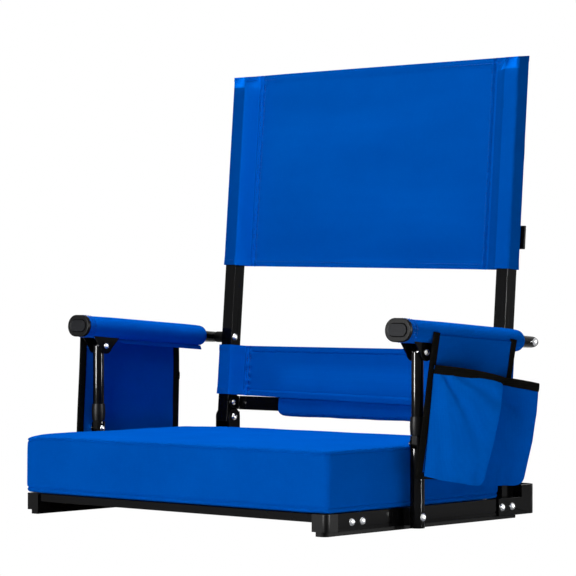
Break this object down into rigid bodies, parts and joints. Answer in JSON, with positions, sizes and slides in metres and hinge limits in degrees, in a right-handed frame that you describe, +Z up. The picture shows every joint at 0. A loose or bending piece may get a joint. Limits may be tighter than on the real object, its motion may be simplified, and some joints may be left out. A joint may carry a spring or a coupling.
{
  "type": "bleacher chair",
  "caption": "Folding stadium seat with a padded box cushion, sling back with lumbar strip, padded armrests that fold with the back, and hanging side pockets.",
  "frame": {"origin": "on the floor, below the middle of the chair's outer box", "axes": "+X across the seat to the sitter's left, +Y from the front edge to the back, +Z up"},
  "size_m": [0.6868, 0.4364, 0.631],
  "materials": {
    "powder_coated_steel": "satin powder coat",
    "black_plastic": "fine moulded grain",
    "grey_plastic": "fine moulded grain",
    "zinc_steel": "bright zinc plate",
    "blue_oxford_cloth": "plain-woven polyester",
    "black_webbing": "woven webbing",
    "birch_plywood": "bare"
  },
  "bodies": {
    "base": {"rail_left": "powder_coated_steel", "rail_right": "powder_coated_steel", "foot_strip_left": "black_plastic", "foot_strip_right": "black_plastic", "corner_cap_left": "black_plastic", "corner_cap_right": "black_plastic", "front_crossbar": "powder_coated_steel", "rear_crossbar": "powder_coated_steel", "rear_corner_left": "powder_coated_steel", "rear_corner_right": "powder_coated_steel", "hinge_bracket_left": "powder_coated_steel", "hinge_bracket_right": "powder_coated_steel", "seat_board": "birch_plywood", "seat_cushion": "blue_oxford_cloth", "arm_stub_left": "powder_coated_steel", "arm_stub_right": "powder_coated_steel", "stub_spacers": "black_plastic", "frame_bolts": "zinc_steel", "frame_nuts": "zinc_steel", "board_screws": "zinc_steel", "back_pivot_bolts": "zinc_steel", "knuckle_screws": "zinc_steel"},
    "back": {"back_post_left": "powder_coated_steel", "back_post_right": "powder_coated_steel", "post_plugs": "black_plastic", "back_panel": "blue_oxford_cloth", "lumbar_strip": "blue_oxford_cloth", "back_crossbar": "powder_coated_steel", "crossbar_bolts": "zinc_steel", "grip_sleeve": "blue_oxford_cloth", "carry_strap_left": "black_webbing", "carry_strap_right": "black_webbing", "strap_sliders": "black_plastic", "armrest_bolts": "zinc_steel", "armrest_spacers": "black_plastic"},
    "armrest_left": {"arm_bar_left": "powder_coated_steel", "arm_pad_left": "blue_oxford_cloth", "arm_cap_left": "black_plastic", "arm_plug_left": "grey_plastic", "arm_clevis_left": "powder_coated_steel", "clevis_bolt_left": "zinc_steel", "bag_panel_left": "blue_oxford_cloth", "front_pocket_left": "blue_oxford_cloth", "rear_pocket_left": "blue_oxford_cloth"},
    "armrest_right": {"arm_bar_right": "powder_coated_steel", "arm_pad_right": "blue_oxford_cloth", "arm_cap_right": "black_plastic", "arm_plug_right": "grey_plastic", "arm_clevis_right": "powder_coated_steel", "clevis_bolt_right": "zinc_steel", "bag_panel_right": "blue_oxford_cloth", "front_pocket_right": "blue_oxford_cloth", "rear_pocket_right": "blue_oxford_cloth"},
    "upper_post_left": {"arm_post_left": "powder_coated_steel", "knuckle_left": "black_plastic"},
    "upper_post_right": {"arm_post_right": "powder_coated_steel", "knuckle_right": "black_plastic"}
  },
  "joints": [
    {"name": "back_fold", "type": "hinge", "parent": "base", "child": "back", "pos_m": [0, 0.16609, 0.1215], "axis": [1, 0, 0], "range_deg": [0, 88]},
    {"name": "armrest_left_level", "type": "hinge", "parent": "back", "child": "armrest_left", "pos_m": [-0.295, 0.17097, 0.2395], "axis": [1, 0, 0], "range_deg": [-88, 0]},
    {"name": "upper_post_left_turn", "type": "hinge", "parent": "base", "child": "upper_post_left", "pos_m": [-0.295, -0.06201, 0.1115], "axis": [1, 0, 0], "range_deg": [0, 88]},
    {"name": "armrest_right_level", "type": "hinge", "parent": "back", "child": "armrest_right", "pos_m": [0.295, 0.17097, 0.2395], "axis": [1, 0, 0], "range_deg": [-88, 0]},
    {"name": "upper_post_right_turn", "type": "hinge", "parent": "base", "child": "upper_post_right", "pos_m": [0.295, -0.06201, 0.1115], "axis": [1, 0, 0], "range_deg": [0, 88]}
  ],
  "couplings": [
    {"joint": "armrest_left_level", "follows": "back_fold", "ratio": -1},
    {"joint": "upper_post_left_turn", "follows": "back_fold", "ratio": 1},
    {"joint": "armrest_right_level", "follows": "back_fold", "ratio": -1},
    {"joint": "upper_post_right_turn", "follows": "back_fold", "ratio": 1}
  ]
}
